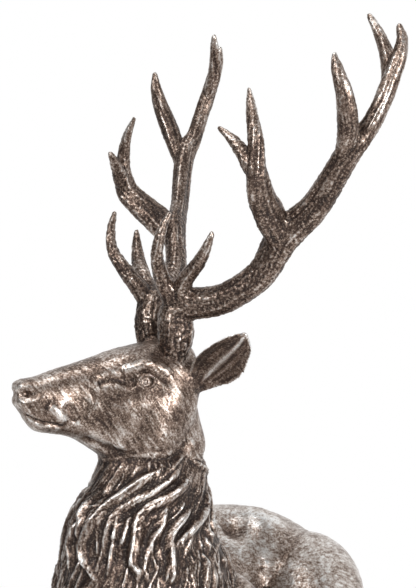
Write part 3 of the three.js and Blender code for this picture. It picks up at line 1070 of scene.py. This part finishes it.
def build_figure(sizes):
    """Body, mane, head, ears and eyes, as one mesh."""

    def forms(bm):
        add_body(bm)
        add_head(bm)

    obj = remeshed("stag_figure", forms, voxel(1.2), list(fine_patches()))
    skin = Skin(obj.data)
    local = world_to_head(skin.points)
    under_jaw = smooth(0, 14, local[:, 0]) * smooth(-100, -88, local[:, 2])
    skin.fill_creases(rounds(150), 1 - 0.75 * under_jaw)
    skin.even_out(rounds(6))
    carve_body(skin)
    carve_ears(skin)
    carve_face(skin)
    share = carve_mane(obj, skin, sizes.mane_depth / MM, rounds(150))
    grain = hair_grain(skin, share)
    add_fur(skin, grain, share)
    skin.points[:, 2] = np.maximum(skin.points[:, 2], BASE_THICKNESS - 3)
    skin, grain = with_eyes(obj, skin, grain)
    # The back is painted brighter, a painted haze of the white backdrop's light over the hind half, and
    # thinned more; the mane keeps its wax
    back = smooth(-10, 60, skin.points[:, 1])
    mane = np.concatenate((share, np.full(skin.count - len(share), EYE_PAINTED_HIGHLIGHT)))
    complete(obj, skin, grain, 0.7 * back - 0.5 * mane, sizes.figure_triangles, 1 - 0.8 * back)
    return obj


# Each tine's noise is read this far from the last one's
TINES_APART = 30
# Puts back what smoothing takes off the antlers
ANTLER_SWELL = 0.35


def antler_grain(local):
    """Where each point lies round and along the beam or tine that it is on."""
    grain = np.zeros((len(local), 3))
    least = np.full(len(local), FAR_OUT)
    for hand in (1, -1):
        own = np.nonzero(local[:, 1] * hand > 0)[0]
        places = local[own] * (1, hand, 1)
        for number, form in enumerate(antler_forms(hand)):
            found, out = round_line(form, places, 0.12)
            better = out < least[own]
            grain[own[better]] = found[better] + TINES_APART * number
            least[own[better]] = out[better]
    return grain


def build_antlers(sizes):
    """Both antlers: ridged along their lines, and pearled at their roots."""
    obj = remeshed("stag_antlers", add_antlers, voxel(0.8))
    skin = Skin(obj.data)
    skin.fill_creases(rounds(260), 1.0)
    skin.points = skin.relaxed(rounds(8), 0.5)
    skin.settle()
    skin.push(np.full(skin.count, ANTLER_SWELL))
    local = world_to_head(skin.points)
    grain = antler_grain(local)
    root = smooth(30, 6, local[:, 2])
    below_tips = smooth(200, 60, local[:, 2])
    height = 0.55 * Grain(5)(grain, 3.0) + 0.28 * Grain(6)(grain, 1.5)
    height += (0.22 + 0.2 * below_tips) * Grain(7)(skin.points, 1.7)
    height += 1.1 * root * np.abs(Grain(8)(skin.points, 3.4))
    skin.push(height)
    complete(obj, skin, grain, -0.55 + 0.3 * smooth(120, 210, local[:, 2]), sizes.antler_triangles)
    return obj


def build_base(sizes):
    """The oval base, with uneven ground on its top."""
    obj = remeshed("stag_base", lambda bm: add_base(bm, sizes), voxel(2.6))
    skin = Skin(obj.data)
    skin.even_out(3)
    top = smooth(BASE_THICKNESS - 2.5, BASE_THICKNESS - 0.5, skin.points[:, 2])
    ground = Grain(9)
    skin.push(top * (0.55 * ground(skin.points, 14) + 0.35 * ground(skin.points, 5) - 0.5))
    complete(obj, skin, skin.points, 0.15, sizes.base_triangles)
    return obj


class Nodes:
    """Adds nodes to a material's or world's tree in a short way."""

    def __init__(self, tree):
        self.tree = tree

    def join(self, value, socket):
        """Sets a socket to a value, or links it to another node's socket."""
        if isinstance(value, bpy.types.NodeSocket):
            self.tree.links.new(value, socket)
        else:
            socket.default_value = value

    def add(self, kind, *values, **named):
        """A node of a kind: named settings and sockets, and values for its first sockets."""
        made = self.tree.nodes.new("ShaderNode" + kind)
        for name, value in named.items():
            if hasattr(made, name):
                setattr(made, name, value)
            else:
                self.join(value, made.inputs[name])
        for value, socket in zip(values, made.inputs, strict=False):
            self.join(value, socket)
        return made

    def math(self, operation, a, b):
        """The result of a sum of two values or sockets."""
        return self.add("Math", a, b, operation=operation).outputs[0]

    def ramp(self, value, stops):
        """A colour ramp over value, from stops (place, colour)."""
        made = self.add("ValToRGB", Fac=value)
        elements = made.color_ramp.elements
        elements[0].position, elements[0].color = stops[0][0], (*stops[0][1], 1)
        elements[1].position, elements[1].color = stops[-1][0], (*stops[-1][1], 1)
        for place, colour in stops[1:-1]:
            elements.new(place).color = (*colour, 1)
        return made.outputs["Color"]

    def noise(self, vector, scale, detail, roughness):
        made = self.add("TexNoise", Vector=vector, Scale=scale, Detail=detail, Roughness=roughness)
        return made.outputs[0]


FINISH_NAME = "dark_waxed_silver"
# How worn the finish is, with painted light added (a painted haze on the back, a painted highlight on the
# eyeballs), where it takes each of its tones, from the recesses to the rubbed ridges
TONE_PLACES = (0.12, 0.36, 0.56, 0.78, 1.0)


def waxed_silver(finish):
    """Dark-waxed silver: dark in the hollows, rubbed bright on the ridges, speckled all over, and painted
    brighter where painted light is stored: a haze on the back, a highlight on the eyeballs.
    """
    material = bpy.data.materials.new(FINISH_NAME)
    material.use_nodes = True
    tree = Nodes(material.node_tree)
    shader = material.node_tree.nodes["Principled BSDF"].inputs
    height = tree.add("Attribute", attribute_name="height").outputs["Fac"]
    polish = tree.add("Attribute", attribute_name="polish").outputs["Fac"]
    grain = tree.add("Attribute", attribute_name="grain").outputs["Vector"]
    place = tree.add("TexCoord").outputs["Object"]
    mottle = tree.noise(place, 60.0, 5.0, 0.6)
    speck = tree.noise(place, 760.0, 2.0, 0.75)
    streak = tree.noise(grain, 520.0, 2.0, 0.6)
    wear_and_painted_light = height
    for source, amount in ((mottle, 0.9), (speck, 0.95), (streak, 0.75)):
        uneven = tree.math("MULTIPLY", tree.math("SUBTRACT", source, 0.5), amount)
        wear_and_painted_light = tree.math("ADD", wear_and_painted_light, uneven)
    # The value stored with each piece adds real wax and rubbing, and painted light too: a painted haze
    # brightening the back and a painted highlight on the eyeballs
    wear_and_painted_light = tree.math("ADD", wear_and_painted_light, tree.math("MULTIPLY", polish, 0.25))
    tones = (finish.recess, finish.wax, finish.brown, finish.silver, finish.rubbed)
    colour = tree.ramp(wear_and_painted_light, tuple(zip(TONE_PLACES, tones, strict=True)))
    flecks = tree.math("MULTIPLY", tree.ramp(speck, ((0.56, (0, 0, 0)), (0.68, (1, 1, 1)))), 0.3)
    flecked = tree.add("Mix", flecks, data_type="RGBA", A=colour, B=(*finish.fleck, 1))
    tree.join(flecked.outputs["Result"], shader["Base Color"])
    tree.join(tree.ramp(wear_and_painted_light, ((0.1, (0.55,) * 3), (0.6, (0.95,) * 3))), shader["Metallic"])
    tree.join(tree.math("SUBTRACT", 0.5, tree.math("MULTIPLY", wear_and_painted_light, 0.22)), shader["Roughness"])
    bump = tree.add("Bump", Strength=0.55, Distance=0.0005, Height=streak)
    fine = tree.add("Bump", Strength=0.5, Distance=0.0004, Height=speck, Normal=bump.outputs[0])
    tree.join(fine.outputs[0], shader["Normal"])
    return material


def colour_property(name, description, default):
    """A colour in linear light."""
    return bpy.props.FloatVectorProperty(
        name=name, description=description, default=default, subtype="COLOR", min=0, max=1
    )


def number_property(name, description, default, unit="NONE"):
    """A size or strength that can't be negative."""
    return bpy.props.FloatProperty(name=name, description=description, default=default, unit=unit, min=0)


def triangle_property(name, default):
    """A limit on a piece's triangles."""
    return bpy.props.IntProperty(
        name=name, description="How many triangles the piece is thinned to", default=default, min=1000
    )


class StagSizes(bpy.types.PropertyGroup):
    """Sizes of the figure that a user would change."""

    base_width: number_property("Base width", "Across the oval base", 0.252, "LENGTH")
    base_length: number_property("Base length", "Along the oval base", 0.470, "LENGTH")
    base_fullness: number_property("Base fullness", "2 is an ellipse, more is squarer", 2.4)
    base_edge: number_property("Base edge", "How far the top edge is rounded over", 0.004, "LENGTH")
    mane_depth: number_property("Mane depth", "How far the locks stand out", 0.0042, "LENGTH")
    figure_triangles: triangle_property("Figure triangles", 196000)
    antler_triangles: triangle_property("Antler triangles", 190000)
    base_triangles: triangle_property("Base triangles", 40000)


class StagFinish(bpy.types.PropertyGroup):
    """Colours of the antique silver finish, from its hollows to its ridges."""

    recess: colour_property("Recess", "Dark wax left in the deepest hollows", (0.018, 0.010, 0.008))
    wax: colour_property("Wax", "Waxed hollows", (0.060, 0.038, 0.029))
    brown: colour_property("Brown", "Toned metal between hollow and ridge", (0.222, 0.160, 0.126))
    silver: colour_property("Silver", "Silver that shows through", (0.53, 0.472, 0.432))
    rubbed: colour_property("Rubbed", "Ridges rubbed bright", (0.88, 0.88, 0.87))
    fleck: colour_property("Fleck", "Warm flecks in the finish", (0.62, 0.52, 0.43))


class StagStudio(bpy.types.PropertyGroup):
    """The studio's light."""

    backdrop: number_property("Backdrop", "Brightness behind the stag", 1.0)
    room: number_property("Room", "Brightness of the room in front", 0.22)
    key: number_property("Key", "Main lamp, on the right", 20.0, "POWER")
    fill: number_property("Fill", "Soft lamp on the left", 14.0, "POWER")
    top: number_property("Top", "Lamp overhead", 9.0, "POWER")


def hand_in(obj, finish):
    """Gives a piece its finish and its place in the frame."""
    obj.data.materials.clear()
    obj.data.materials.append(bpy.data.materials.get(FINISH_NAME) or waxed_silver(finish))
    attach(obj, "root")
    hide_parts("stag")


FLOOR_RADIUS = 0.85


def add_floor(scene):
    """A plain pale disc for the stag to stand on."""
    bm = bmesh.new()
    bmesh.ops.create_circle(bm, cap_ends=True, segments=96, radius=FLOOR_RADIUS)
    mesh = bpy.data.meshes.new("floor")
    bm.to_mesh(mesh)
    bm.free()
    floor = bpy.data.objects.new("floor", mesh)
    scene.collection.objects.link(floor)
    paint = bpy.data.materials.new("pale_floor")
    paint.use_nodes = True
    shader = paint.node_tree.nodes["Principled BSDF"]
    shader.inputs["Base Color"].default_value = (0.86, 0.86, 0.86, 1)
    shader.inputs["Roughness"].default_value = 0.9
    mesh.materials.append(paint)
    floor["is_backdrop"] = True


def direction(azimuth, elevation):
    """The way out from the stag to a camera or lamp: azimuth 0 is in front of its chest."""
    a, e = math.radians(azimuth), math.radians(elevation)
    return Vector((math.sin(a) * math.cos(e), -math.cos(a) * math.cos(e), math.sin(e)))


# Each lamp's azimuth, elevation, distance and width; its power is a property of the studio
LAMPS = {
    "key": (62, 4, 1600, 0.55),
    "fill": (-14, 22, 1600, 0.7),
    "top": (0, 75, 1500, 0.8),
}


def add_facing(scene, name, data, azimuth, elevation, distance):
    """Puts a lamp or camera at a distance from the camera's target, turned towards it."""
    out = direction(azimuth, elevation)
    holder = bpy.data.objects.new(name, data)
    scene.collection.objects.link(holder)
    holder.location = (Vector(CAMERA_TARGET) + out * distance) * MM
    holder.rotation_euler = out.to_track_quat("Z", "Y").to_euler()
    return holder


def add_light(scene):
    """A white backdrop behind, a dim room in front, and three soft lamps."""
    studio = scene.stag_studio
    world = bpy.data.worlds.new("studio")
    world.use_nodes = True
    tree = Nodes(world.node_tree)
    way = tree.add("SeparateXYZ", tree.add("TexCoord").outputs["Generated"])
    behind = tree.ramp(way.outputs["Y"], ((0.0, (studio.room,) * 3), (0.55, (studio.backdrop,) * 3)))
    shown = tree.add("LightPath").outputs["Is Camera Ray"]
    mixed = tree.add("Mix", shown, data_type="RGBA", A=behind, B=(1, 1, 1, 1))
    tree.join(mixed.outputs["Result"], world.node_tree.nodes["Background"].inputs["Color"])
    scene.world = world
    scene.view_settings.view_transform = "Standard"
    for name, (azimuth, elevation, distance, width) in LAMPS.items():
        lamp = bpy.data.lights.new(name, "AREA")
        lamp.energy = getattr(studio, name)
        lamp.size = width
        add_facing(scene, name, lamp, azimuth, elevation, distance)


def add_camera(scene):
    """The camera at the photograph's viewing angle."""
    data = bpy.data.cameras.new("camera")
    data.sensor_width = 36
    data.lens = CAMERA["focal"] * data.sensor_width / max(PHOTO_SIZE)
    places = (CAMERA["azimuth"], CAMERA["elevation"], CAMERA["distance"])
    scene.camera = add_facing(scene, "camera", data, *places)


class STAG_OT_figure(bpy.types.Operator):
    """Model the resting stag: body, mane, head and ears"""

    bl_idname = "stag.figure"
    bl_label = "Figure"

    def execute(self, context):
        hand_in(build_figure(context.scene.stag_sizes), context.scene.stag_finish)
        return {"FINISHED"}


class STAG_OT_antlers(bpy.types.Operator):
    """Model the pair of antlers"""

    bl_idname = "stag.antlers"
    bl_label = "Antlers"

    def execute(self, context):
        hand_in(build_antlers(context.scene.stag_sizes), context.scene.stag_finish)
        return {"FINISHED"}


class STAG_OT_base(bpy.types.Operator):
    """Model the low oval base"""

    bl_idname = "stag.base"
    bl_label = "Base"

    def execute(self, context):
        hand_in(build_base(context.scene.stag_sizes), context.scene.stag_finish)
        return {"FINISHED"}


class STAG_OT_stage(bpy.types.Operator):
    """Set up the floor, the light and the photograph's camera"""

    bl_idname = "stag.stage"
    bl_label = "Stage"

    def execute(self, context):
        add_floor(context.scene)
        add_light(context.scene)
        add_camera(context.scene)
        return {"FINISHED"}


class STAG_PT_panel(bpy.types.Panel):
    """Lists the stag's sizes, finish and pieces"""

    bl_idname = "STAG_PT_panel"
    bl_label = "Stag"
    bl_space_type = "VIEW_3D"
    bl_region_type = "UI"
    bl_category = "Stag"

    def draw(self, context):
        for group in (context.scene.stag_sizes, context.scene.stag_finish, context.scene.stag_studio):
            for name in type(group).__annotations__:
                self.layout.prop(group, name)
        for piece in PIECES:
            self.layout.operator("stag." + piece)


GROUPS = {"stag_sizes": StagSizes, "stag_finish": StagFinish, "stag_studio": StagStudio}
PIECES = ("figure", "antlers", "base", "stage")
OPERATORS = (STAG_OT_figure, STAG_OT_antlers, STAG_OT_base, STAG_OT_stage)


def register():
    for cls in (*GROUPS.values(), *OPERATORS, STAG_PT_panel):
        bpy.utils.register_class(cls)
    for name, group in GROUPS.items():
        setattr(bpy.types.Scene, name, bpy.props.PointerProperty(type=group))


def unregister():
    for name in GROUPS:
        delattr(bpy.types.Scene, name)
    for cls in (STAG_PT_panel, *OPERATORS, *GROUPS.values()):
        bpy.utils.unregister_class(cls)


def main():
    register()
    for piece in PIECES:
        getattr(bpy.ops.stag, piece)()
    boxes = {"cad": CAD_BOX, "visual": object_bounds()}
    {name: [list(corner) for corner in box] for name, box in boxes.items()}


if __name__ == "__main__":
    main()
